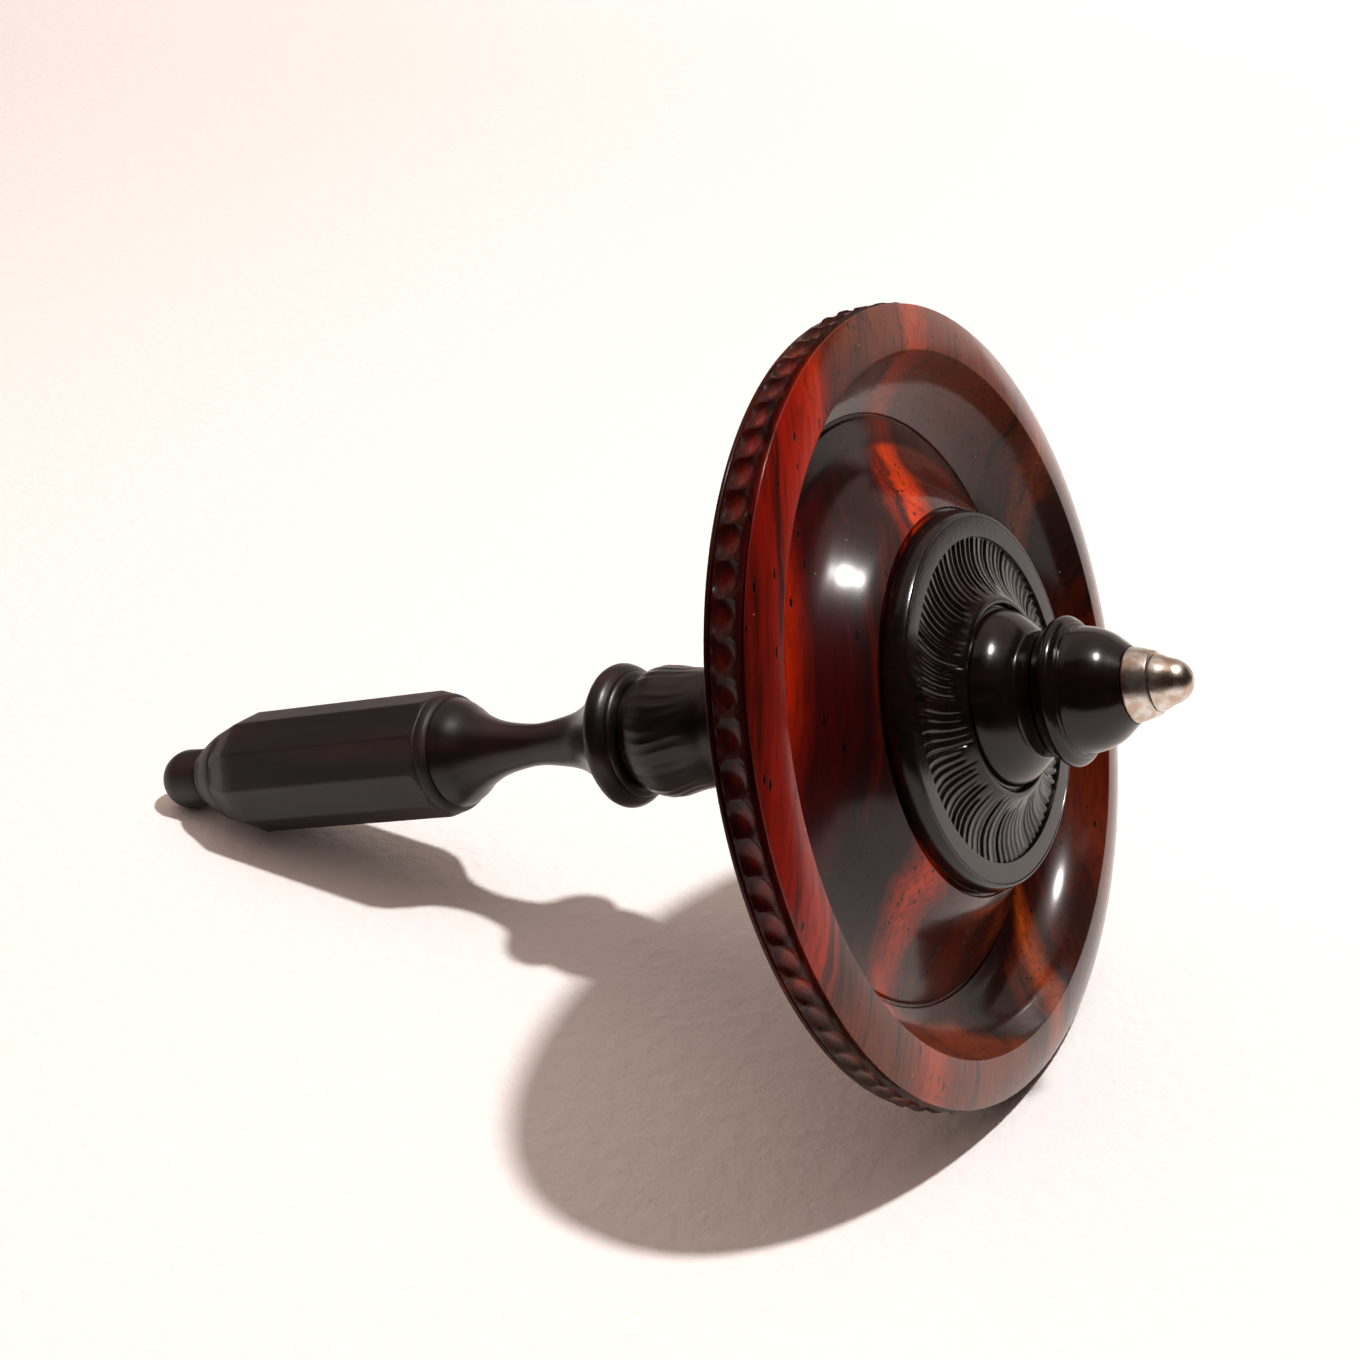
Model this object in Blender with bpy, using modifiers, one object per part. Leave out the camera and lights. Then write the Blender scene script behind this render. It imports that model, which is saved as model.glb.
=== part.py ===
# A turned wooden spindle, lying as it is put down: on the whorl's back edge and on the finial knob.
# Every piece is turned about the spindle's own axis. That axis is the local Z of the empty
# spindle_axis: Z = 0 is the whorl's front edge, +Z runs to the metal point, -Z to the finial.
import bpy
import bmesh
import math
from mathutils import Matrix, Vector

MM = 0.001
GAP = 0.3                      # clearance left between touching pieces, mm

# driving dimensions, mm
RIM_R = 35.0                   # front edge of the whorl
RIM_BACK_Z = -3.8              # back edge of the rim, the edge that it lies on
RIM_BACK_R = 34.87
BAND_R = 35.2                  # crests between the rim's hollows
BAND_FRONT_Z = -0.75
BAND_BACK_Z = -2.95
LIP_R = 30.8                   # inner edge of the flat lip
COVE_R = 25.8                  # foot of the dome
COVE_Z = -5.05
SEAT_R = 16.9                  # flat on top of the dome, under the boss
SEAT_Z = 1.2
BACK_Z = -13.2                 # flat on the whorl's back, over the collar
BACK_R = 7.4
HOLLOWS = 72                   # scoops around the rim
FLANGE_R = 16.67
BEAD_R = 7.75
NECK_R = 5.42
RING_R = 6.45
FERRULE_R = 3.2
POINT_R = 2.3
POINT_END = 21.5
POINT_ROUND = 1.9              # radius of its rounded end
COLLAR_R = 6.3
FLARE_R = 6.93
WAIST_R = 2.07
GRIP_R = 6.65                  # the turned blank, before its flats are cut
GRIP_FLATS = 10
GRIP_FLAT_R = 6.1              # axis to the middle of a flat
GRIP_END_R = 5.1               # the same where the flats run out at the lower end
TAPER_Z = -82.6                # where they begin to lean in
FLAT_PHASE = math.radians(-5.2)  # turn of the flats from straight up, about the axis
KNOB_R = 3.25
KNOB_Z = -92.95                # centre of the knob's round end
ROD_R = 1.6
STEP_OF_RIM = HOLLOWS          # facets round the whorl, one to a scoop
STEP_OF_TURNING = 24           # facets round the slimmer pieces


def remove_everything():
    for thing in list(bpy.data.objects):
        bpy.data.objects.remove(thing)


def collection(name):
    made = bpy.data.collections.new(name)
    bpy.context.scene.collection.children.link(made)
    return made


def finish(name, colour, roughness, metallic):
    made = bpy.data.materials.new(name)
    made.use_nodes = True
    shader = made.node_tree.nodes["Principled BSDF"]
    shader.inputs["Base Color"].default_value = (*colour, 1.0)
    shader.inputs["Roughness"].default_value = roughness
    shader.inputs["Metallic"].default_value = metallic
    return made


def arc(centre_r, centre_z, radius, start, end, count):
    """Points (r, z) on an arc, angles in degrees from +r towards +z."""
    points = []
    for i in range(count):
        turn = math.radians(start + (end - start) * i / (count - 1))
        points.append((centre_r + radius * math.cos(turn), centre_z + radius * math.sin(turn)))
    return points


def smooth_run(knots, per_span):
    """A Catmull-Rom curve through the (r, z) knots, ends included."""
    points = []
    padded = [knots[0]] + list(knots) + [knots[-1]]
    for a, b, c, d in zip(padded, padded[1:], padded[2:], padded[3:]):
        for i in range(per_span):
            t = i / per_span
            blend = [-t + 2 * t * t - t ** 3, 2 - 5 * t * t + 3 * t ** 3,
                     t + 4 * t * t - 3 * t ** 3, t ** 3 - t * t]
            points.append(tuple(0.5 * sum(w * p[k] for w, p in zip(blend, (a, b, c, d)))
                                for k in (0, 1)))
    return points + [knots[-1]]


def turned(name, outline, steps, where, parent=None, material=None):
    """An outline of (r, z) in mm, from the top of the axis or bore down the outside and back,
    spun about local Z. An outline that starts and ends on the axis stays open there."""
    mesh = bpy.data.meshes.new(name)
    closed = outline[0][0] > 0
    count = len(outline)
    edges = [(i, i + 1) for i in range(count - 1)] + ([(count - 1, 0)] if closed else [])
    mesh.from_pydata([(r * MM, 0.0, z * MM) for r, z in outline], edges, [])
    piece = bpy.data.objects.new(name, mesh)
    where.objects.link(piece)
    spin = piece.modifiers.new("turning", "SCREW")
    spin.steps = spin.render_steps = steps
    spin.use_merge_vertices = True
    spin.merge_threshold = 0.00001
    spin.use_smooth_shade = True
    if parent:
        piece.parent = parent
    if material:
        mesh.materials.append(material)
    return piece


def lying_tilt():
    """Angle of the axis over the ground when the rim's back edge and the knob both touch it."""
    along = RIM_BACK_Z - KNOB_Z
    span = math.hypot(along, RIM_BACK_R)
    return math.atan2(RIM_BACK_R, along) - math.asin(KNOB_R / span)


def axis_empty(where):
    """The spindle's axis, lying: tilted up towards the point, in the XZ plane."""
    tilt = lying_tilt()
    empty = bpy.data.objects.new("spindle_axis", None)
    where.objects.link(empty)
    rise = RIM_BACK_R * math.cos(tilt) - RIM_BACK_Z * math.sin(tilt)
    right = (POINT_END - POINT_ROUND) * math.cos(tilt) + POINT_ROUND
    left = KNOB_Z * math.cos(tilt) - KNOB_R
    empty.rotation_euler = (0.0, math.pi / 2 - tilt, 0.0)
    empty.location = (-(left + right) / 2 * MM, 0.0, rise * MM)
    return empty


def whorl_outline():
    bore = ROD_R + GAP
    front = [(bore, SEAT_Z - 4.5), (5.3, SEAT_Z - 4.5), (5.3, SEAT_Z), (SEAT_R, SEAT_Z)]
    dome = smooth_run([(SEAT_R + 0.1, SEAT_Z + 0.2), (20.0, -0.95), (22.3, -3.35), (COVE_R, COVE_Z)], 2)
    quirk = [(COVE_R + 0.1, COVE_Z - 0.5)]
    cove = smooth_run([(COVE_R + 0.65, COVE_Z - 0.15), (28.4, -4.15), (30.0, -1.95), (LIP_R, 0.83)], 2)
    rim = [(RIM_R, 0.0), (RIM_R - 0.6, -0.48), (BAND_R, BAND_FRONT_Z), (BAND_R, BAND_BACK_Z),
           (RIM_R - 0.55, -3.3), (RIM_BACK_R, -3.5), (RIM_BACK_R, RIM_BACK_Z)]
    back = smooth_run([(34.2, -4.3), (29.0, -8.2), (20.0, -11.7), (BACK_R + 0.6, -13.5)], 2)
    seat = [(BACK_R, -13.5), (BACK_R, BACK_Z), (4.3, BACK_Z), (4.3, BACK_Z + 4.5), (bore, BACK_Z + 4.5)]
    return front + dome + quirk + cove + rim + back + seat


def rim_scoops(where, parent):
    """One ring of ball-nosed scoops, cut into the rim's band."""
    mesh = bpy.data.meshes.new("rim_scoops")
    shape = bmesh.new()
    middle = Vector(((BAND_R + 1.05) * MM, 0.0, (BAND_FRONT_Z + BAND_BACK_Z) / 2 * MM))
    for i in range(HOLLOWS):
        place = (Matrix.Rotation(2 * math.pi * i / HOLLOWS, 4, "Z")
                 @ Matrix.Translation(middle)
                 @ Matrix.Diagonal((1.7 * MM, 1.42 * MM, 1.3 * MM, 1.0)))
        bmesh.ops.create_uvsphere(shape, u_segments=8, v_segments=4, radius=1.0, matrix=place)
    shape.to_mesh(mesh)
    shape.free()
    cutter = bpy.data.objects.new("rim_scoops", mesh)
    where.objects.link(cutter)
    cutter.parent = parent
    cutter.hide_render = True
    cutter.display_type = "WIRE"
    return cutter


def cut(piece, cutter, operation):
    boolean = piece.modifiers.new(cutter.name, "BOOLEAN")
    boolean.operation = operation
    boolean.solver = "EXACT"
    boolean.object = cutter
    return piece


def make_whorl(parts, cutters, axis):
    rosewood = finish("rosewood", (0.16, 0.022, 0.010), 0.22, 0.0)
    whorl = turned("whorl", whorl_outline(), STEP_OF_RIM, parts, axis, rosewood)
    whorl.rotation_euler = (0.0, 0.0, math.pi / STEP_OF_RIM)   # the crests stand at the facets' corners
    cut(whorl, rim_scoops(cutters, axis), "DIFFERENCE")


def make_boss(parts, axis, wood):
    floor = SEAT_Z + GAP
    tenon = SEAT_Z - 4.5 + GAP
    bore = ROD_R + GAP
    spigot = [(0.0, 11.6), (2.6, 11.6), (2.9, 11.3), (2.9, 9.2)]
    neck = smooth_run([(5.6, 9.2), (NECK_R, 8.5), (5.65, 7.75), (6.45, 7.0)], 1)
    bead = smooth_run([(7.1, 6.35), (7.55, 5.6), (BEAD_R, 4.9)], 1)
    face = [(7.8, 4.4), (8.3, 5.1)] + smooth_run([(8.7, 5.0), (10.2, 3.85), (12.0, 3.3), (14.16, 3.25)], 1)
    flange = [(14.4, 3.4), (15.9, 3.4), (16.25, 3.2), (16.5, 2.6), (FLANGE_R, 1.7), (16.5, floor)]
    foot = [(5.0, floor), (5.0, tenon), (bore, tenon), (bore, 7.2), (0.0, 7.2)]
    turned("boss", spigot + neck + bead + face + flange + foot, STEP_OF_TURNING, parts, axis, wood)


def make_nose_bell(parts, axis, wood):
    low = 9.5
    pin_bore = 1.4
    mouth = [(pin_bore, 14.0), (2.6, 14.0), (2.6, 16.35), (3.3, 16.35)]
    bell = smooth_run([(3.4, 16.2), (3.9, 15.6), (4.6, 14.7), (5.15, 13.6), (5.42, 12.5), (5.5, 11.7)], 1)
    ring = [(6.0, 11.5)] + arc(RING_R - 0.7, 10.7, 0.7, 50, -50, 4) + [(5.6, low)]
    socket = [(3.2, low), (3.2, 11.9), (0.0, 11.9)]
    hole = [(0.0, 12.7), (pin_bore, 12.7)]
    turned("nose_bell", hole + mouth + bell + ring + socket, STEP_OF_TURNING, parts, axis, wood)


def make_tip(parts, axis):
    nickel = finish("nickel_silver", (0.62, 0.56, 0.50), 0.28, 1.0)
    sleeve = [(1.4, 18.4), (2.6, 18.4), (2.85, 18.25), (3.05, 17.4), (FERRULE_R, 16.85),
              (FERRULE_R, 16.65), (2.3, 16.65), (2.3, 14.3), (1.4, 14.3)]
    turned("tip_ferrule", sleeve, STEP_OF_TURNING, parts, axis, nickel)
    steel = finish("point_metal", (0.60, 0.55, 0.50), 0.25, 1.0)
    nose = arc(0.0, POINT_END - POINT_ROUND, POINT_ROUND, 90, 10, 6)
    nose[0] = (0.0, POINT_END)
    shank = [(POINT_R - 0.1, 19.3), (POINT_R + 0.15, 18.7), (1.1, 18.7), (1.1, 13.2), (0.9, 13.0),
             (0.0, 13.0)]
    turned("point_pin", nose + shank, STEP_OF_TURNING, parts, axis, steel)


def make_collar(parts, axis, wood):
    top = BACK_Z - GAP
    tenon = BACK_Z + 4.5 - GAP
    bore = ROD_R + GAP
    foot = [(bore, tenon), (4.0, tenon), (4.0, top), (BACK_R - GAP, top), (BACK_R - GAP, -14.5)]
    neck = smooth_run([(6.2, -15.3), (5.35, -17.5), (5.2, -21.0), (5.3, -24.4)], 1)
    body = smooth_run([(5.55, -25.2), (5.9, -27.3), (COLLAR_R, -29.7), (5.9, -31.6), (5.2, -32.7)], 1)
    turned("collar", foot + neck + body + [(bore, -32.7)], STEP_OF_TURNING, parts, axis, wood)


def make_stem(parts, axis, wood):
    face = -32.7 - GAP
    bore = ROD_R + GAP
    flare = [(5.2, face), (5.9, -33.4), (6.6, -34.2), (FLARE_R, -34.9), (6.85, -35.4)]
    trumpet = smooth_run([(6.2, -36.0), (4.9, -37.2), (3.6, -38.8), (2.8, -40.6), (2.35, -42.8),
                          (WAIST_R, -45.6), (2.35, -48.3), (2.9, -50.6), (3.9, -52.7),
                          (5.1, -54.4), (5.75, -55.3)], 1)
    tenon = [(5.6, -55.5), (2.6, -55.5), (2.6, -62.7), (2.3, -63.0), (0.0, -63.0)]
    hole = [(0.0, -38.3), (bore, -38.3)]
    turned("stem", hole + flare + trumpet + tenon, STEP_OF_TURNING, parts, axis, wood)


def make_grip(parts, cutters, axis, wood):
    top = -55.5 - GAP
    bottom = KNOB_Z + 3.35
    shoulder = [(5.6, top), (5.95, -56.2), (6.25, -57.0), (6.52, -57.8)]
    body = [(GRIP_R, -59.0), (GRIP_R, TAPER_Z), (5.55, -84.8)]
    end = smooth_run([(5.1, -85.6), (4.6, -87.3), (3.8, -88.8), (3.3, bottom)], 1)
    finial_socket = [(1.7, bottom), (1.7, -83.7), (0.0, -83.7)]
    stem_socket = [(0.0, -63.3), (2.9, -63.3), (2.9, top)]
    grip = turned("grip", stem_socket + shoulder + body + end + finial_socket, 30, parts, axis, wood)
    corner = 1 / math.cos(math.pi / GRIP_FLATS)
    prism = [(0.0, top + 2), (GRIP_FLAT_R * corner, top + 2), (GRIP_FLAT_R * corner, TAPER_Z),
             (GRIP_END_R * corner, -85.4), (GRIP_END_R * corner, bottom - 2), (0.0, bottom - 2)]
    flats = turned("grip_flats", prism, GRIP_FLATS, cutters, axis)
    flats.rotation_euler = (0.0, 0.0, FLAT_PHASE + math.pi / GRIP_FLATS)
    flats.hide_render = True
    flats.display_type = "WIRE"
    cut(grip, flats, "INTERSECT")


def make_finial(parts, axis, wood):
    top = KNOB_Z + 3.35 - GAP
    tenon = [(0.0, -84.0), (1.4, -84.0), (1.4, top)]
    ball = arc(0.0, KNOB_Z, KNOB_R, 0, -90, 7)
    ball[-1] = (0.0, KNOB_Z - KNOB_R)
    turned("finial_knob", tenon + [(3.1, top), (3.12, KNOB_Z + 1.2)] + ball, 24, parts, axis, wood)


def make_rod(parts, axis):
    steel = finish("rod_steel", (0.55, 0.55, 0.56), 0.35, 1.0)
    rod = [(0.0, 6.9), (ROD_R, 6.9), (ROD_R, -38.0), (0.0, -38.0)]
    turned("core_rod", rod, 20, parts, axis, steel)


remove_everything()
parts = collection("drop_spindle")
cutters = collection("cutters")
axis = axis_empty(parts)
blackwood = finish("blackwood", (0.012, 0.010, 0.010), 0.25, 0.0)
make_whorl(parts, cutters, axis)
make_rod(parts, axis)
make_boss(parts, axis, blackwood)
make_nose_bell(parts, axis, blackwood)
make_tip(parts, axis)
make_collar(parts, axis, blackwood)
make_stem(parts, axis, blackwood)
make_grip(parts, cutters, axis, blackwood)
make_finial(parts, axis, blackwood)
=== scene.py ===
import math

import bpy
import numpy as np
from mathutils import Matrix, Vector


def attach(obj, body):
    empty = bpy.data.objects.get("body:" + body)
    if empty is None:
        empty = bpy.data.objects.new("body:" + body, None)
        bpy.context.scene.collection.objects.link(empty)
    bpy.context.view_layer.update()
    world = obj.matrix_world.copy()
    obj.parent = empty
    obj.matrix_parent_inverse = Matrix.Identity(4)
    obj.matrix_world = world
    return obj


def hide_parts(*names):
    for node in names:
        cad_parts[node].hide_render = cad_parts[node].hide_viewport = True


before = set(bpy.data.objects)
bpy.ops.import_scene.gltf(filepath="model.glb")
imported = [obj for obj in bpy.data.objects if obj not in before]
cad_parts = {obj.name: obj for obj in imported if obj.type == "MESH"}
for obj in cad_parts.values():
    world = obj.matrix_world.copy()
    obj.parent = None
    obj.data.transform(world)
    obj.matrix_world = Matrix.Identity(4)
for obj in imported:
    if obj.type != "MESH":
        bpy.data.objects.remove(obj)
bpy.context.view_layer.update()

# The spindle's axis. Every piece is turned about the line of the steel rod at its middle, which
# slopes up towards the metal point as the spindle lies. Along the line, 0 is the whorl's front
# edge, plus runs to the point and minus to the finial. All sizes are in mm.
MM = 0.001
ROD_FRONT = 6.9

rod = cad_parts["core_rod"]
rod_points = [v.co.copy() for v in rod.data.vertices]
middle_x = sum(p.x for p in rod_points) / len(rod_points)


def end_middle(points):
    """The middle of one flat end of the rod."""
    spans = [sorted(p[k] for p in points) for k in range(3)]
    return Vector([(span[0] + span[-1]) / 2 for span in spans])


rod_front = end_middle([p for p in rod_points if p.x > middle_x])
rod_back = end_middle([p for p in rod_points if p.x <= middle_x])
to_point = (rod_front - rod_back).normalized()
sideways = Vector((0.0, 1.0, 0.0))
downward = sideways.cross(to_point)
zero = rod_front - to_point * ROD_FRONT * MM
spindle_axis = Matrix((downward, sideways, to_point)).transposed().to_4x4()
spindle_axis.translation = zero

# The whorl. A disc of oily red rosewood, cut face-grain from a board and turned with a domed
# middle, a deep cove and a slightly crowned lip. Ball-nosed scoops are cut side by side around its
# edge, between two fine fillets. It is bored for the rod, and sunk front and back for two tenons.
BAND_R = 35.17
BAND_TOP, BAND_LOW = -0.75, -2.95
BAND_RINGS = 22
BAND_SLACK, WALL_SLACK = 0.02, 0.3
HOLLOWS = 72
SCOOP_WIDE, SCOOP_TALL, SCOOP_DEEP, SCOOP_ROUND = 1.66, 1.34, 0.62, 0.8
RIM_BACK = (34.85, -3.8)
ROD_HOLE = 1.9
CREASE = math.radians(40)
NO_WIDTH = 1e-4


def bow(start, end, sag, count):
    """An arc from one (r, z) to another that stands sag mm to the left of the straight line."""
    (r0, z0), (r1, z1) = start, end
    chord = math.hypot(r1 - r0, z1 - z0)
    points = []
    for i in range(count + 1):
        t = i / count
        lift = 4 * sag * t * (1 - t)
        points.append((r0 + (r1 - r0) * t - (z1 - z0) / chord * lift,
                       z0 + (z1 - z0) * t + (r1 - r0) / chord * lift))
    return points


def flow(knots, per_span):
    """A smooth curve through the (r, z) knots."""
    points = []
    padded = [knots[0], *knots, knots[-1]]
    for span in zip(padded, padded[1:], padded[2:], padded[3:]):
        for i in range(per_span):
            t = i / per_span
            weights = (-t + 2 * t * t - t ** 3, 2 - 5 * t * t + 3 * t ** 3,
                       t + 4 * t * t - 3 * t ** 3, t ** 3 - t * t)
            points.append(tuple(0.5 * sum(w * p[k] for w, p in zip(weights, span))
                                for k in (0, 1)))
    return points + [knots[-1]]


def eased(outline, radius=0.12):
    """The outline with each crisp corner rounded over, as sanding leaves it."""
    steps, crisp, share = 4, 0.3, 0.4
    made = [outline[0]]
    for before, corner, after in zip(outline, outline[1:], outline[2:]):
        here = Vector(corner)
        back, on = Vector(before) - here, Vector(after) - here
        if min(back.length, on.length) < 1e-6:
            continue
        turn = math.pi - back.angle(on)
        if turn < crisp:
            made.append(tuple(here))
            continue
        cut = min(radius * math.tan(turn / 2), share * back.length, share * on.length)
        a, b = here + back.normalized() * cut, here + on.normalized() * cut
        for k in range(steps + 1):
            t = k / steps
            made.append(tuple(a * (1 - t) ** 2 + here * 2 * t * (1 - t) + b * t * t))
    return made + [outline[-1]]


def turned(name, outline, around, relief=None, fine=None):
    """A solid turned from an outline of (r, z) mm that runs from the front down the outside.
    relief(angle, r, z) gives the new r and z where the surface is cut into. fine is
    (low z, high z, least r, times), the stretch that needs more facets round it."""
    verts, rings = [], []
    for r, z in outline:
        if r < NO_WIDTH:
            rings.append((len(verts), 1))
            verts.append((0.0, 0.0, z))
            continue
        count = around
        if fine and fine[0] <= z <= fine[1] and r >= fine[2]:
            count = around * fine[3]
        turn = np.arange(count) * 2 * math.pi / count
        rs, zs = np.full(count, float(r)), np.full(count, float(z))
        if relief:
            rs, zs = relief(turn, rs, zs)
        rings.append((len(verts), count))
        verts.extend(zip(rs * np.cos(turn), rs * np.sin(turn), zs))
    pairs = list(zip(rings, rings[1:]))
    if rings[0][1] > 1:
        pairs.append((rings[-1], rings[0]))
    faces = []
    for (a, na), (b, nb) in pairs:
        if na == nb:
            faces += [(a + i, b + i, b + (i + 1) % nb, a + (i + 1) % na) for i in range(na)]
        elif na < nb:
            k = nb // na
            for i in range(na):
                faces += [(a + i, b + i * k + j, b + (i * k + j + 1) % nb) for j in range(k)]
                if na > 1:
                    faces.append((a + i, b + (i + 1) * k % nb, a + (i + 1) % na))
        else:
            k = na // nb
            for i in range(nb):
                faces += [(a + (i * k + j + 1) % na, a + i * k + j, b + i) for j in range(k)]
                if nb > 1:
                    faces.append((a + (i + 1) * k % na, b + i, b + (i + 1) % nb))
    mesh = bpy.data.meshes.new(name)
    mesh.from_pydata([(x * MM, y * MM, z * MM) for x, y, z in verts], [], faces)
    mesh.transform(spindle_axis)
    mesh.shade_smooth()
    mesh.set_sharp_from_angle(angle=CREASE)
    piece = bpy.data.objects.new(name, mesh)
    bpy.context.scene.collection.objects.link(piece)
    return piece


def rim_scoops(turn, r, z):
    """A ball-nosed scoop in every 72nd of the band, with a sharp ridge left between two."""
    pitch = 2 * math.pi / HOLLOWS
    across = (np.mod(turn + pitch / 2, pitch) - pitch / 2) * BAND_R
    along = z - (BAND_TOP + BAND_LOW) / 2
    spread = (across / SCOOP_WIDE) ** 2 + (along / SCOOP_TALL) ** 2
    depth = SCOOP_DEEP * np.clip(1 - spread, 0, None) ** SCOOP_ROUND
    on_band = (z < BAND_TOP + BAND_SLACK) & (z > BAND_LOW - BAND_SLACK) & (r > BAND_R - WALL_SLACK)
    return np.where(on_band, r - depth, r), z


whorl_front = [(ROD_HOLE, -3.3), (5.3, -3.3), (5.3, 1.2), (16.9, 1.2), (17.0, 1.4)]
dome = flow([(17.05, 1.4), (18.0, 0.55), (19.0, -0.6), (20.0, -1.8), (21.0, -2.85), (22.3, -3.8),
             (23.9, -4.55), (25.8, -5.05)], 8)
quirk = [(25.86, -5.5), (26.2, -5.55), (26.3, -5.25)]
cove = flow([(26.45, -5.2), (27.7, -4.65), (29.0, -3.5), (30.1, -1.7), (30.8, 0.83)], 10)
lip = bow((30.82, 0.83), (34.96, 0.0), 0.22, 10)
groove = [(34.93, -0.14), (34.4, -0.48), (35.1, -0.7)]
band = [(BAND_R, BAND_TOP + (BAND_LOW - BAND_TOP) * i / BAND_RINGS) for i in range(BAND_RINGS + 1)]
fillet = [(34.95, -3.15), (34.45, -3.32), (34.87, -3.5), RIM_BACK]
whorl_back = flow([(34.0, -4.2), (31.0, -5.85), (28.0, -7.5), (24.0, -9.4), (19.5, -11.1),
                   (14.0, -12.6), (8.0, -13.5)], 6)
sinking = [(7.4, -13.5), (7.4, -13.2), (4.3, -13.2), (4.3, -8.7), (ROD_HOLE, -8.7)]
whorl_outline = (eased(whorl_front + dome + quirk + cove + lip + groove, 0.09) + band
                 + eased(fillet + whorl_back + sinking))
whorl = turned("whorl_turning", whorl_outline, 252, rim_scoops,
               (BAND_LOW - 0.05, BAND_TOP + 0.05, BAND_R - 0.02, 4))


class Wire:
    """A value on its way through a shader, so that it can be used in sums."""

    def __init__(self, finish, socket):
        self.finish, self.socket = finish, socket

    def sum(self, operation, first, second):
        return self.finish.node("ShaderNodeMath", {"operation": operation}, [first, second])

    def __add__(self, other):
        return self.sum("ADD", self, other)

    def __sub__(self, other):
        return self.sum("SUBTRACT", self, other)

    def __rsub__(self, other):
        return self.sum("SUBTRACT", other, self)

    def __mul__(self, other):
        return self.sum("MULTIPLY", self, other)

    def __truediv__(self, other):
        return self.sum("DIVIDE", self, other)

    __radd__, __rmul__ = __add__, __mul__


class Finish:
    """One surface finish: a material and the nodes that colour it."""

    def __init__(self, name):
        self.material = bpy.data.materials.new(name)
        self.material.use_nodes = True
        self.tree = self.material.node_tree
        self.shader = self.tree.nodes["Principled BSDF"]

    def node(self, kind, settings=None, values=(), output=0):
        """A node of any type: its settings first, then the values or wires of its sockets."""
        made = self.tree.nodes.new(kind)
        for key, value in (settings or {}).items():
            if key == "stops":
                self.stops(made.color_ramp, value)
            else:
                setattr(made, key, value)
        pairs = values.items() if isinstance(values, dict) else enumerate(values)
        for key, value in pairs:
            self.feed(made.inputs[key], value)
        return Wire(self, made.outputs[output])

    def stops(self, ramp, stops):
        while len(ramp.elements) < len(stops):
            ramp.elements.new(0.5)
        for element, (place, colour) in zip(ramp.elements, stops):
            element.position, element.color = place, (*colour, 1.0)

    def feed(self, socket, value):
        if isinstance(value, Wire):
            self.tree.links.new(value.socket, socket)
        elif isinstance(value, tuple) and socket.type == "RGBA":
            socket.default_value = (*value, 1.0)
        else:
            socket.default_value = value

    def place(self):
        """The spot on the spindle in its own axes: down, sideways and along, in mm."""
        spot = self.node("ShaderNodeTexCoord", output="Object")
        from_zero = self.node("ShaderNodeVectorMath", {"operation": "SUBTRACT"},
                              [spot, tuple(zero)])
        return [self.node("ShaderNodeVectorMath", {"operation": "DOT_PRODUCT"},
                          [from_zero, tuple(way)], output="Value") / MM
                for way in (downward, sideways, to_point)]

    def vector(self, x, y, z):
        return self.node("ShaderNodeCombineXYZ", values=[x, y, z])

    def noise(self, where, scale, detail, rough=0.5):
        settings = {"Vector": where, "Scale": scale, "Detail": detail, "Roughness": rough}
        return self.node("ShaderNodeTexNoise", values=settings)

    def cells(self, where):
        """How far a spot is from the middle of its cell, and a number drawn for that cell."""
        far = self.node("ShaderNodeTexVoronoi", {"feature": "F1"}, {"Vector": where, "Scale": 1.0})
        drawn = Wire(self, far.socket.node.outputs["Color"])
        return far, self.node("ShaderNodeSeparateXYZ", values=[drawn])

    def step(self, value, low, high):
        """0 under low, 1 over high, and a smooth rise between."""
        return self.node("ShaderNodeMapRange", {"interpolation_type": "SMOOTHSTEP"},
                         {"Value": value, "From Min": low, "From Max": high})

    def mix(self, factor, first, second):
        node = self.node("ShaderNodeMix", {"data_type": "RGBA"}).socket.node
        self.feed(node.inputs[0], factor)
        self.feed(node.inputs[6], first)
        self.feed(node.inputs[7], second)
        return Wire(self, node.outputs[2])

    def ramp(self, value, stops):
        return self.node("ShaderNodeValToRGB", {"stops": stops}, [value])

    def bump(self, height, distance, strength):
        return self.node("ShaderNodeBump",
                         values={"Height": height, "Distance": distance, "Strength": strength})

    def surface(self, **sockets):
        for name, value in sockets.items():
            self.feed(self.shader.inputs[name.replace("_", " ")], value)


GRAIN_TURN = math.radians(32)
BOARD_WIDE = 72.0
END_TONE_REFLECTION_FROM, END_TONE_REFLECTION_FULL = 18.0, 31.0
EDGE_R_FROM, EDGE_R_FULL = 34.4, 34.9
EDGE_Z_FULL, EDGE_Z_FROM = -0.55, -0.35
DARK_VEIN = (0.007, 0.002, 0.001)
DUST_AND_GLINT = (0.45, 0.28, 0.20)

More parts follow.
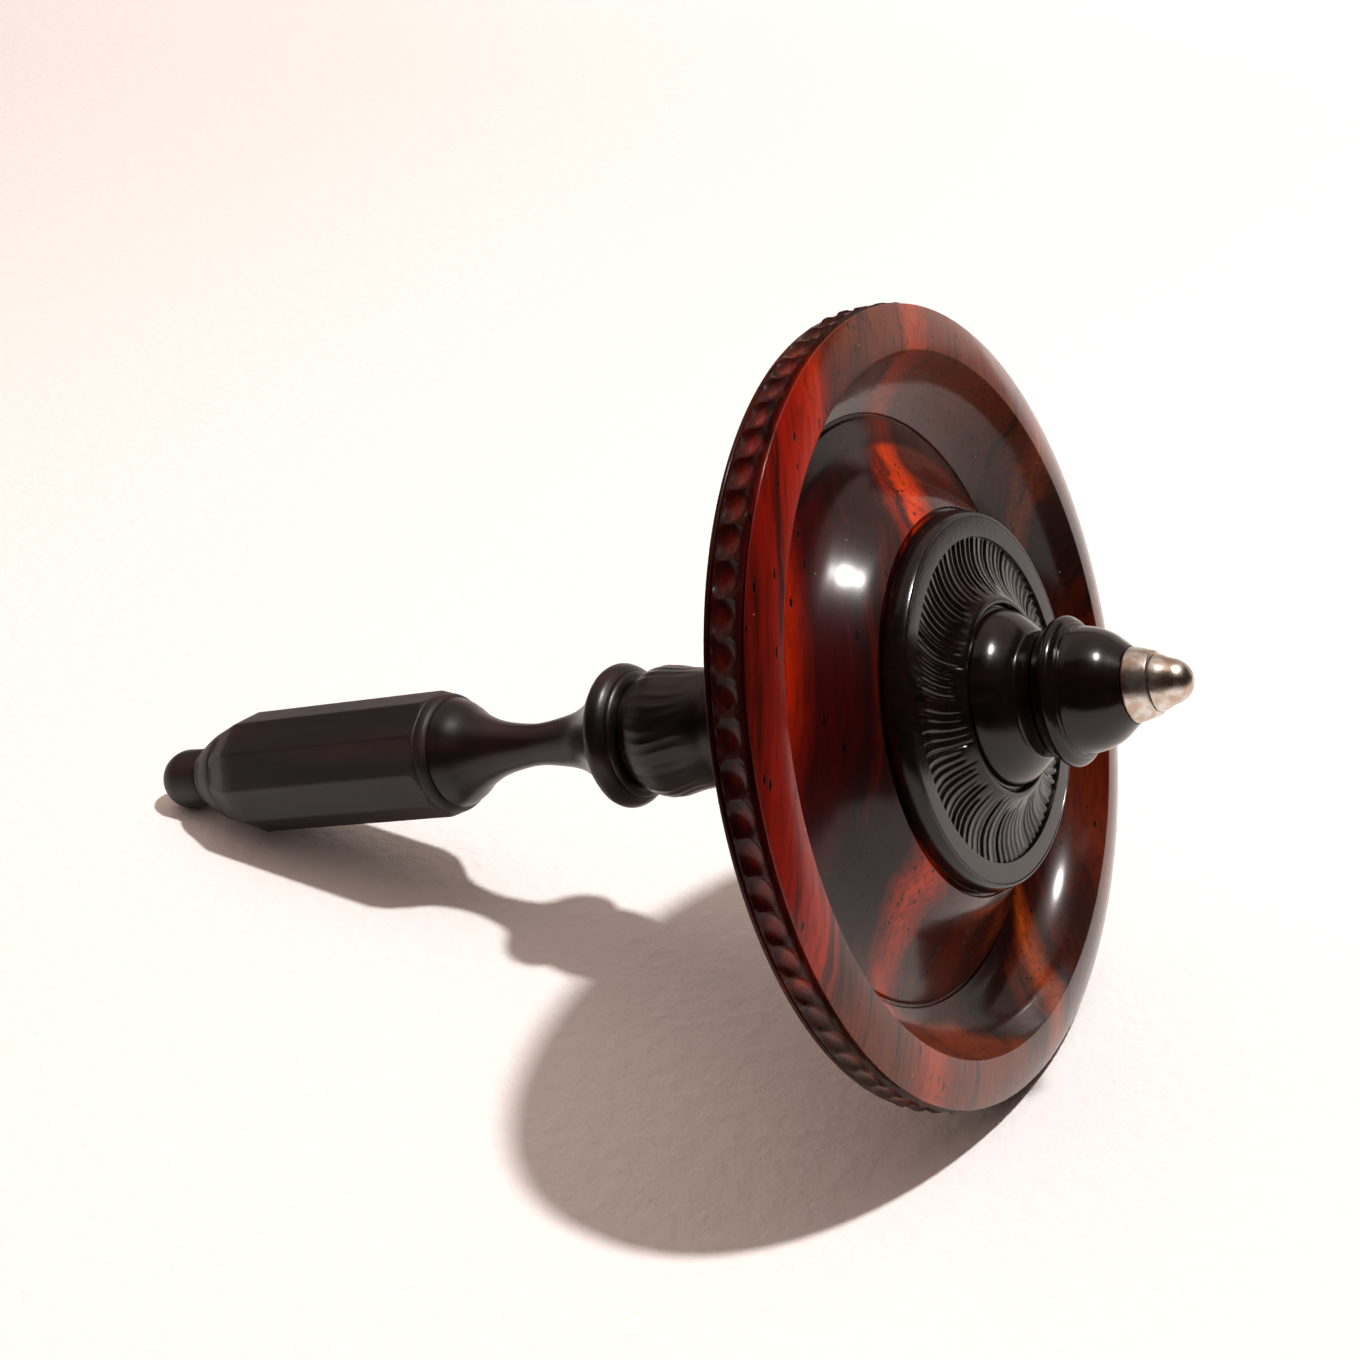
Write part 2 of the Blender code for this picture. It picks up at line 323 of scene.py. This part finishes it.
rosewood = Finish("rosewood")
down, side, along = rosewood.place()
with_grain = side * math.sin(GRAIN_TURN) - down * math.cos(GRAIN_TURN)
over_grain = down * math.sin(GRAIN_TURN) + side * math.cos(GRAIN_TURN)
drift = rosewood.noise(
    rosewood.vector(with_grain / 60.0, over_grain / 16.0, along / 12.0), 1.0, 3.0)
ripple = rosewood.noise(
    rosewood.vector(with_grain / 22.0, over_grain / 2.6, along / 2.6), 1.0, 3.0, 0.6)
layer = over_grain + along * 0.55 + (drift - 0.5) * 11.0 + (ripple - 0.5) * 2.6
board = rosewood.ramp(layer / BOARD_WIDE + 0.5, [
    (0.00, (0.050, 0.002, 0.001)), (0.06, (0.160, 0.004, 0.001)), (0.115, (0.240, 0.006, 0.001)),
    (0.14, (0.420, 0.016, 0.001)), (0.165, (0.120, 0.004, 0.001)), (0.185, (0.034, 0.001, 0.001)),
    (0.215, (0.034, 0.001, 0.001)), (0.26, (0.012, 0.001, 0.001)), (0.35, (0.016, 0.001, 0.001)),
    (0.375, (0.280, 0.014, 0.001)), (0.40, (0.620, 0.044, 0.003)), (0.42, (0.480, 0.030, 0.002)),
    (0.445, (0.040, 0.002, 0.001)), (0.50, (0.060, 0.004, 0.001)),
    (0.55, (0.100, 0.010, 0.002)), (0.60, (0.020, 0.002, 0.001)), (0.67, (0.007, 0.001, 0.001)),
    (0.72, (0.050, 0.004, 0.001)), (0.745, (0.300, 0.045, 0.003)), (0.78, (0.022, 0.002, 0.001)),
    (0.86, (0.014, 0.002, 0.001)), (0.92, (0.110, 0.012, 0.002)), (1.00, (0.030, 0.003, 0.001))])
# Both ends of the grain are painted a paler orange-brown: partly the wood's own tone, partly a
# painted reflection on the polish.
end_tone_and_reflection = rosewood.step(with_grain * with_grain, END_TONE_REFLECTION_FROM ** 2, END_TONE_REFLECTION_FULL ** 2)
board = rosewood.mix(end_tone_and_reflection * 0.6, board, (0.220, 0.036, 0.006))
streak = rosewood.noise(
    rosewood.vector(with_grain / 38.0, layer / 2.2, along / 9.0), 1.0, 5.0, 0.62)
glow = rosewood.mix(0.20, board, (0.360, 0.020, 0.002))
shade = rosewood.mix(rosewood.step(streak, 0.50, 0.28) * 0.65, board, glow)
shade = rosewood.mix(rosewood.step(streak, 0.53, 0.66) * 0.85, shade, DARK_VEIN)
flecks = rosewood.noise(
    rosewood.vector(with_grain / 7.0, over_grain * 2.4, along * 2.4), 1.0, 3.0)
shade = rosewood.mix(rosewood.step(flecks, 0.40, 0.75) * 0.5, shade, (0.010, 0.002, 0.001))
pore_far, pore_pick = rosewood.cells(
    rosewood.vector(over_grain / 0.85, along / 0.85, with_grain / 3.6))
crowd = rosewood.noise(
    rosewood.vector(over_grain / 7.0, along / 7.0, with_grain / 16.0), 1.0, 1.0)
pores = ((1.0 - rosewood.step(pore_far, 0.12, 0.17))
         * rosewood.step(pore_pick + crowd * 1.3, 0.92, 0.96))
shade = rosewood.mix(pores, shade, (0.002, 0.001, 0.001))
# Pale specks in random cells: partly wax and dust left in the pores, partly painted glints off the
# pore edges.
speck_far, speck_pick = rosewood.cells(
    rosewood.vector(over_grain / 1.6, along / 1.6, with_grain / 2.4))
specks = (1.0 - rosewood.step(speck_far, 0.030, 0.055)) * rosewood.step(speck_pick, 0.45, 0.5)
shade = rosewood.mix(specks * 0.6, shade, DUST_AND_GLINT)
wax_grain = rosewood.noise(
    rosewood.vector(with_grain / 4.0, over_grain * 3.0, along * 3.0), 1.0, 2.0)
# The band round the rim is painted near black, which is painted shade in its scooped hollows. It
# also takes a thinner coat.
rim_wall = (rosewood.step(down * down + side * side, EDGE_R_FROM ** 2, EDGE_R_FULL ** 2)
            * (1.0 - rosewood.step(along, EDGE_Z_FULL, EDGE_Z_FROM)))
shade = rosewood.mix(rim_wall * 0.85, shade, (0.008, 0.0016, 0.0012))
rosewood.surface(Base_Color=shade, Roughness=0.32 + wax_grain * 0.10,
                 Coat_Weight=1.0 - rim_wall * 0.7, Coat_Roughness=0.165, Coat_IOR=1.38,
                 Specular_IOR_Level=0.06,
                 Normal=rosewood.bump(wax_grain * 0.03 - pores, 0.00008, 0.6))


def fitted(piece, finish, node):
    """The piece takes its finish and the place of its CAD solid."""
    piece.data.materials.append(finish.material)
    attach(piece, "root")
    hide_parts(node)


fitted(whorl, rosewood, "whorl")

# The rod. A plain steel rod glued through the whorl from the boss to the stem, which keeps the
# pieces in one line. Nothing of it shows outside.
rod_steel = Finish("rod_steel")
down, side, along = rod_steel.place()
drawn = rod_steel.noise(rod_steel.vector(down * 4.0, side * 4.0, along * 0.2), 1.0, 2.0)
rod_steel.surface(Base_Color=rod_steel.mix(drawn, (0.48, 0.48, 0.49), (0.62, 0.62, 0.63)),
                  Metallic=1.0, Roughness=0.28 + drawn * 0.15)
rod.data.materials.clear()
rod.data.materials.append(rod_steel.material)

# The boss. A blackwood flange on the whorl's dome, turned in one piece with the bead and neck in
# front of it. Its face is hollowed and chatter-cut: a springy tool left the fine radial grooves.
FACE_OUT, FACE_IN = 14.1, 8.6
FACE_LOWEST = 2.0
GROOVES = 92
CHATTER_DEEP, CHATTER_HALF_WIDE, CHATTER_RIPPLE = 0.2, 0.3, 0.02
rng = np.random.default_rng(7)
groove_deep = 0.2 + 0.8 * rng.random(GROOVES) ** 1.6
groove_end = FACE_IN + 1.3 * rng.random(GROOVES) ** 2


def chatter(turn, r, z):
    """Radial grooves of uneven depth in the hollow face, fading out at its inner edge."""
    inside = (r < FACE_OUT + 0.01) & (r > FACE_IN) & (z > FACE_LOWEST)
    sway = 0.5 * np.sin((r - FACE_IN) * 0.7 + turn) + 0.25 * np.sin(turn * 5)
    spot = turn / (2 * math.pi) * GROOVES + sway
    index = np.floor(spot).astype(int) % GROOVES
    across = np.clip(np.abs(np.mod(spot, 1.0) - 0.5) / CHATTER_HALF_WIDE, 0, 1)
    reach = (np.clip((r - groove_end[index]) / 0.5, 0, 1)
             * np.clip((FACE_OUT + 0.1 - r) / 0.2, 0, 1))
    ripple = CHATTER_RIPPLE * np.abs(np.sin(spot * math.pi * 2))
    depth = CHATTER_DEEP * groove_deep[index] * (1 - across ** 2) + ripple
    return r, np.where(inside, z - depth * reach, z)


spigot = [(0.0, 11.6), (2.6, 11.6), (2.9, 11.3), (2.9, 9.25), (5.55, 9.2)]
bead = [(5.5, 9.15), (5.42, 8.8), (5.42, 8.0), (5.5, 7.85)] + flow([
    (5.62, 7.8), (6.1, 7.42), (6.68, 6.85), (7.16, 6.25), (7.5, 5.6), (7.7, 4.9)], 6)
lip_groove = [(7.62, 4.72), (7.86, 4.66), (7.9, 4.3), (8.05, 4.35), (8.22, 5.05), (8.5, 5.08)]
hollow = flow([(8.7, 4.98), (9.6, 4.3), (10.9, 3.62), (12.4, 3.24), (FACE_OUT, 3.14)], 12)
flange = [(14.16, 3.38), (15.85, 3.42), (15.95, 3.3), (16.02, 3.42), (16.2, 3.36)] + bow(
    (16.32, 3.2), (16.67, 1.75), 0.1, 6) + [(16.6, 1.5)]
boss_tenon = [(5.0, 1.5), (5.0, -3.0), (ROD_HOLE, -3.0), (ROD_HOLE, 7.2), (0.0, 7.2)]
boss_outline = (eased(spigot) + eased(bead, 0.15) + eased(lip_groove, 0.05) + hollow
                + eased(flange + boss_tenon, 0.08))
boss = turned("boss_turning", boss_outline, 184, chatter, (3.0, 5.0, FACE_IN - 0.05, 5))


def blackwood(name, dull, tone):
    """Near-black heartwood, finely grained along the spindle. It is rubbed to a gloss at the boss
    and nose, satin at the collar and stem, and left dull where the fingers hold it."""
    wood = Finish(name)
    down, side, along = wood.place()
    grain = wood.noise(wood.vector(down / 0.9, side / 0.9, along / 14.0), 1.0, 4.0, 0.6)
    warm = wood.noise(wood.vector(down / 3.5, side / 3.5, along / 30.0), 1.0, 2.0)
    colour = wood.mix(wood.step(grain, 0.42, 0.75), (0.0030, 0.0018, 0.0018),
                      (0.0080, 0.0035, 0.0032))
    colour = wood.mix(wood.step(warm, 0.4, 0.7) * 0.6, colour, tone)
    hand = wood.noise(wood.vector(down / 5.0, side / 5.0, along / 5.0), 1.0, 3.0)
    wood.surface(Base_Color=colour, Roughness=dull + grain * 0.06 + hand * 0.08,
                 Specular_IOR_Level=0.38, Normal=wood.bump(grain, 0.00002, 0.5))
    return wood


glossy = blackwood("blackwood", 0.12, (0.010, 0.0030, 0.0028))
fitted(boss, glossy, "boss")

# The nose bell. A blackwood ring and bell, socketed over the boss's spigot, that narrows down to
# the mouth where the metal end is set.
RING_MIDDLE, RING_ROUND = (5.75, 10.75), 0.7


def arc(middle, wide, tall, degrees):
    """Points on a round, or on an oval if wide and tall differ, counted from straight out."""
    return [(middle[0] + wide * math.cos(math.radians(a)),
             middle[1] + tall * math.sin(math.radians(a))) for a in degrees]


bell_mouth = [(1.4, 12.7), (1.4, 14.0), (2.6, 14.0), (2.6, 16.35), (3.2, 16.35)]
bell = flow([(3.3, 16.3), (3.9, 15.6), (4.6, 14.72), (5.12, 13.65), (5.38, 12.6), (5.45, 12.0)], 6)
ring = ([(5.5, 11.75), (5.75, 11.7), (5.78, 11.5), (6.0, 11.45)]
        + arc(RING_MIDDLE, RING_ROUND, RING_ROUND, range(60, -58, -8)) + [(5.9, 9.85), (5.7, 9.5)])
bell_socket = [(3.2, 9.5), (3.2, 11.9), (0.0, 11.9)]
nose = turned("nose_bell_turning",
              eased([(0.0, 12.7)] + bell_mouth + bell + ring + bell_socket), 160)
fitted(nose, glossy, "nose_bell")

# The metal end. A short nickel-silver sleeve is let into the bell, and a stepped point with a worn
# round end is pressed into the sleeve. The spindle spins on this point.
POINT_MIDDLE, POINT_WIDE, POINT_TALL = (0.0, 19.48), 1.95, 2.0
sleeve = turned("tip_ferrule_turning", eased([
    (1.4, 18.4), (2.5, 18.42), (2.72, 18.32), (2.95, 17.6), (3.14, 16.9), (3.2, 16.6), (3.18, 16.4),
    (2.3, 16.4), (2.3, 14.3), (1.4, 14.3)], 0.06), 120)
worn_end = arc(POINT_MIDDLE, POINT_WIDE, POINT_TALL, range(90, 17, -6))
point = turned("point_pin_turning", eased(worn_end + [
    (2.02, 19.55), (2.22, 19.15), (2.38, 18.75), (2.42, 18.5), (2.3, 18.46), (1.1, 18.46),
    (1.1, 13.2), (0.9, 13.0), (0.0, 13.0)], 0.06), 120)
nickel = Finish("nickel_silver")
down, side, along = nickel.place()
rubbed = nickel.noise(nickel.vector(down, side, along * 0.7), 0.9, 4.0, 0.55)
pits = nickel.noise(nickel.vector(down, side, along * 1.4), 6.0, 3.0, 0.6)
lathe_lines = nickel.noise(nickel.vector(down * 0.15, side * 0.15, along * 9.0), 1.0, 2.0)
tarnish = nickel.mix(nickel.step(rubbed, 0.38, 0.66), (0.50, 0.39, 0.30), (0.70, 0.67, 0.63))
pitted = nickel.mix(nickel.step(pits, 0.60, 0.72) * 0.6, tarnish, (0.14, 0.10, 0.07))
nickel.surface(Base_Color=pitted, Metallic=1.0,
               Roughness=0.19 + rubbed * 0.14 + lathe_lines * 0.08,
               Normal=nickel.bump(rubbed * 1.2 + pits * 0.4 + lathe_lines * 0.2, 0.00004, 0.5))
fitted(sleeve, nickel, "tip_ferrule")
fitted(point, nickel, "point_pin")

# The collar. A blackwood sleeve between the whorl's back and the stem, with its body cut into soft
# wavy flutes. Its tenon is glued into the back of the whorl.
FLUTES = 34
FLUTE_TOP, FLUTE_LOW, FLUTE_FADE, FLUTE_DEEP = -24.9, -32.6, 1.6, 0.08
flute_deep = 0.55 + 0.45 * rng.random(FLUTES)


def flutes(turn, r, z):
    """Soft upright flutes of uneven depth, fading out at both ends of the body."""
    outside = r > 3.0
    reach = (np.clip((z - FLUTE_LOW) / FLUTE_FADE, 0, 1)
             * np.clip((FLUTE_TOP - z) / FLUTE_FADE, 0, 1) * outside)
    sway = 0.22 * np.sin(z * 0.7) + 0.10 * np.sin(turn * 5 + z)
    spot = turn / (2 * math.pi) * FLUTES + sway
    index = np.floor(spot).astype(int) % FLUTES
    across = np.abs(np.mod(spot, 1.0) - 0.5) * 2
    return r - FLUTE_DEEP * flute_deep[index] * (1 - across ** 2) * reach, z


collar_foot = [(ROD_HOLE, -9.0), (4.0, -9.0), (4.0, -13.5), (7.1, -13.5), (7.1, -14.4)]
collar_neck = flow([(6.9, -14.7), (6.1, -15.5), (5.4, -17.4), (5.2, -20.5), (5.25, -24.0)], 6)
collar_body = flow([(5.4, -24.4), (5.6, -25.4), (5.85, -27.2), (6.28, -29.6), (5.95, -31.4),
                    (5.25, -32.5)], 10)
collar_end = [(5.2, -32.7), (ROD_HOLE, -32.7)]
collar = turned("collar_turning", eased(collar_foot) + collar_neck + collar_body + collar_end,
                272, flutes)
satin = blackwood("satin_blackwood", 0.26, (0.022, 0.0060, 0.0085))
fitted(collar, satin, "collar")

# The stem. A blackwood trumpet: a rounded flare with two fine lines behind the collar, a long sweep
# down to a thin waist, and out again to a ring that sits on the grip.
stem_face = [(0.0, -38.3), (ROD_HOLE, -38.3), (ROD_HOLE, -33.0), (5.2, -33.0), (5.55, -33.1)]
flare = flow([(5.75, -33.2), (6.0, -33.45), (5.95, -33.6)], 3) + flow([
    (6.1, -33.65), (6.6, -34.1), (6.9, -34.7), (6.93, -35.1), (6.8, -35.45)], 5)
sweep = flow([(6.6, -35.65), (6.0, -36.2), (4.9, -37.2), (3.7, -38.7), (2.85, -40.5),
              (2.35, -42.9), (2.08, -45.6), (2.35, -48.3), (2.9, -50.6), (3.85, -52.7),
              (4.95, -54.3), (5.5, -55.4)], 6)
stem_tenon = [(5.45, -55.55), (2.6, -55.5), (2.6, -62.7), (2.3, -63.0), (0.0, -63.0)]
stem = turned("stem_turning", eased(stem_face) + flare + sweep + eased(stem_tenon), 160)
fitted(stem, satin, "stem")

# The grip. A turned blackwood blank with ten flats cut along it, which the finger and thumb twirl.
# The flats lean in over its lower end and die out on the rounded shoulder at its upper end.
FLATS = 10
FLAT_R = 6.1
FLAT_PHASE = math.radians(-5.2)
FLAT_TOP, FLAT_LOW = -55.9, -85.75
LEAN_FROM, LEAN_LONG, LEAN_IN = -82.6, 2.8, 1.0
BLANK_R, BLANK_TOP, BLANK_STEP = 6.65, -59.0, 1.47


def flats(turn, r, z):
    """Cuts the blank back to the ten flats wherever it stands proud of them."""
    reach = FLAT_R - LEAN_IN * np.clip((LEAN_FROM - z) / LEAN_LONG, 0, 1)
    tenth = 2 * math.pi / FLATS
    off_middle = np.mod(turn - FLAT_PHASE + tenth / 2, tenth) - tenth / 2
    wall = reach / np.cos(off_middle)
    outside = r > 5.0
    on_flat = (z < FLAT_TOP) & (z > FLAT_LOW) & outside
    return np.where(on_flat, np.minimum(r, wall), r), z


grip_top = [(0.0, -63.3), (2.9, -63.3), (2.9, -55.6), (5.45, -55.6)]
shoulder = (flow([(5.52, -55.62), (5.82, -55.85), (6.03, -56.25), (6.1, -56.65)], 5)
            + [(6.04, -56.75)]
            + flow([(6.14, -56.82), (6.33, -57.2), (6.5, -57.8), (6.62, -58.5)], 6))
blank = [(BLANK_R, BLANK_TOP - BLANK_STEP * i) for i in range(17)] + [
    (6.3, -83.3), (5.9, -84.1), (5.55, -84.8), (5.35, -85.3)]
grip_end = [(5.15, -85.6), (5.05, -85.62)] + flow([
    (5.05, -85.75), (4.95, -86.3), (4.5, -87.4), (3.9, -88.5), (3.3, -89.4)], 5)
knob_socket = [(3.25, -89.6), (1.7, -89.6), (1.7, -83.7), (0.0, -83.7)]
grip = turned("grip_turning",
              eased(grip_top) + shoulder + blank + grip_end + eased(knob_socket), 240, flats)
dull = blackwood("dull_blackwood", 0.42, (0.030, 0.0090, 0.0110))
fitted(grip, dull, "grip")

# The finial knob. A round-ended blackwood knob pegged into the grip's end, where the yarn is
# hitched.
KNOB_MIDDLE, KNOB_R = (0.0, -92.95), 3.22
knob_peg = [(0.0, -84.0), (1.4, -84.0), (1.4, -89.9), (3.05, -89.9), (3.12, -90.4), (3.16, -91.6)]
knob = turned("finial_knob_turning",
              eased(knob_peg) + arc(KNOB_MIDDLE, KNOB_R, KNOB_R, range(0, -91, -6)), 120)
fitted(knob, dull, "finial_knob")

# The table. The spindle lies on a sheet of pale paper that goes on behind it. A second sheet
# carries the floor on in front, and does not shine back in the polish.
FAR, FRONT_EDGE, RIGHT_EDGE = 3.0, -0.20, 0.30
paper = Finish("pale_paper")
spot = paper.node("ShaderNodeTexCoord", output="Object")
fibre = paper.noise(spot, 480.0, 4.0, 0.6)
paper.surface(Base_Color=paper.mix(fibre, (0.90, 0.885, 0.87), (0.94, 0.93, 0.915)),
              Roughness=0.9, Specular_IOR_Level=0.2, Normal=paper.bump(fibre, 0.0007, 0.6))
sheets = {
    "paper_floor": [(-FAR, FRONT_EDGE), (RIGHT_EDGE, FRONT_EDGE), (RIGHT_EDGE, FAR), (-FAR, FAR)],
    "front_floor": [(-FAR, -FAR), (FAR, -FAR), (FAR, FAR), (RIGHT_EDGE, FAR),
                    (RIGHT_EDGE, FRONT_EDGE), (-FAR, FRONT_EDGE)]}
for name, corners in sheets.items():
    sheet = bpy.data.meshes.new(name)
    sheet.from_pydata([(x, y, 0.0) for x, y in corners], [], [range(len(corners))])
    sheet.materials.append(paper.material)
    floor = bpy.data.objects.new(name, sheet)
    bpy.context.scene.collection.objects.link(floor)
    floor.visible_glossy = name == "paper_floor"

# The light. One small lamp stands nearly overhead, a little to the right. The pale side wall, far
# wall and ceiling of a dim room are panels, with a lamp beyond the table. The fill lifts the
# shadow and, like the room in front, is not seen in the polish.
VIEW_AZIMUTH = math.radians(28.05)
UP = Vector((0.0, 0.0, 1.0))
right = Vector((math.cos(VIEW_AZIMUTH), math.sin(VIEW_AZIMUTH), 0.0))
away = Vector((-math.sin(VIEW_AZIMUTH), math.cos(VIEW_AZIMUTH), 0.0))
LAMP_FAR, LAMP_RIGHT, LAMP_NEAR = 0.72, 0.27, 0.014
lamp_place = zero + (right * LAMP_RIGHT + UP - away * LAMP_NEAR) * LAMP_FAR


def soft_light(name, size, power, colour, place, aim, spread=180.0, mirrored=True):
    light = bpy.data.lights.new(name, "AREA")
    light.shape = "RECTANGLE" if len(size) == 2 else "DISK"
    light.size, light.size_y = size[0], size[-1]
    light.energy, light.color = power, colour
    light.spread = math.radians(spread)
    stand = bpy.data.objects.new(name, light)
    stand.location = place
    stand.rotation_mode = "QUATERNION"
    stand.rotation_quaternion = (place - Vector(aim)).to_track_quat("Z", "Y")
    stand.visible_glossy = mirrored
    bpy.context.scene.collection.objects.link(stand)


soft_light("lamp", [0.042], 5.4, (1.0, 0.97, 0.95), lamp_place, zero)
soft_light("side_wall", [1.6, 1.6], 3.0, (1.0, 0.74, 0.65),
           Vector((-1.3, 0.1, 0.9)), (0.0, 0.0, 0.0))
soft_light("far_wall", [3.2, 0.9], 6.0, (1.0, 0.86, 0.78),
           Vector((-0.1, 2.0, 0.47)), (0.0, 0.0, 0.1))
soft_light("far_lamp", [1.4, 1.0], 6.5, (0.96, 0.95, 0.95),
           Vector((-0.2, 1.2, 1.1)), (-0.2, 1.15, 0.0), spread=66.0)
soft_light("ceiling", [2.4, 2.4], 10.0, (1.0, 0.77, 0.67),
           Vector((-0.3, 0.9, 1.5)), (-0.2, 0.6, 0.0))
soft_light("fill", [3.2, 3.2], 13.0, (1.0, 0.74, 0.65),
           Vector((-0.5, -0.6, 1.4)), (-0.1, -0.1, 0.0), mirrored=False)
room = bpy.data.worlds.new("dim_room")
room.use_nodes = True
backdrop = room.node_tree.nodes["Background"]
backdrop.inputs["Color"].default_value = (1.0, 0.72, 0.62, 1.0)
backdrop.inputs["Strength"].default_value = 0.02
bpy.context.scene.world = room
bpy.context.scene.view_settings.view_transform = "Standard"

# The camera. It looks down on the front of the whorl from the right of the point, close up, so
# that the grip and the finial fall away behind.
LOOK_AT = Vector((0.01345, -0.0106, 0.0359))
VIEW_RISE, VIEW_FAR = math.radians(27.0), 0.20045
eye_data = bpy.data.cameras.new("eye")
eye_data.lens = 60.88
eye_data.sensor_width = 36.0
eye_data.clip_start = 0.01
eye = bpy.data.objects.new("eye", eye_data)
out = UP * math.sin(VIEW_RISE) - away * math.cos(VIEW_RISE)
eye.location = LOOK_AT + out * VIEW_FAR
eye.rotation_mode = "QUATERNION"
eye.rotation_quaternion = (-out).to_track_quat("-Z", "Y")
bpy.context.scene.collection.objects.link(eye)
bpy.context.scene.camera = eye
